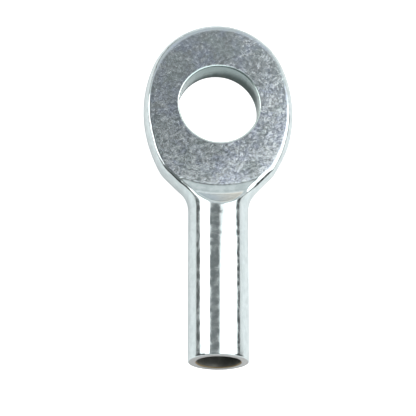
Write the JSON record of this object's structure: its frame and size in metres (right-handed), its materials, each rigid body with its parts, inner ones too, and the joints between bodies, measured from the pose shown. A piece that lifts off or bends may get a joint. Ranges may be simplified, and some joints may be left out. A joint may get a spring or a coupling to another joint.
{
  "type": "rope eye end fitting",
  "caption": "Forged, zinc-plated eye end for a rope: a flat oval eye with a round hole on a round shank, whose blind socket is pressed onto the rope.",
  "frame": {"origin": "centre of the eye hole, halfway through the eye's thickness", "axes": "+Z along the eye hole, +Y from the shank towards the crown of the eye, +X across the eye"},
  "size_m": [0.06, 0.1398, 0.024],
  "materials": {
    "zinc_plated_steel": "bright zinc plating, glossy on the drawn shank and free sides, satin and scratched on the pressed flats"
  },
  "bodies": {
    "root": {"forged_eye": "zinc_plated_steel"}
  },
  "joints": []
}
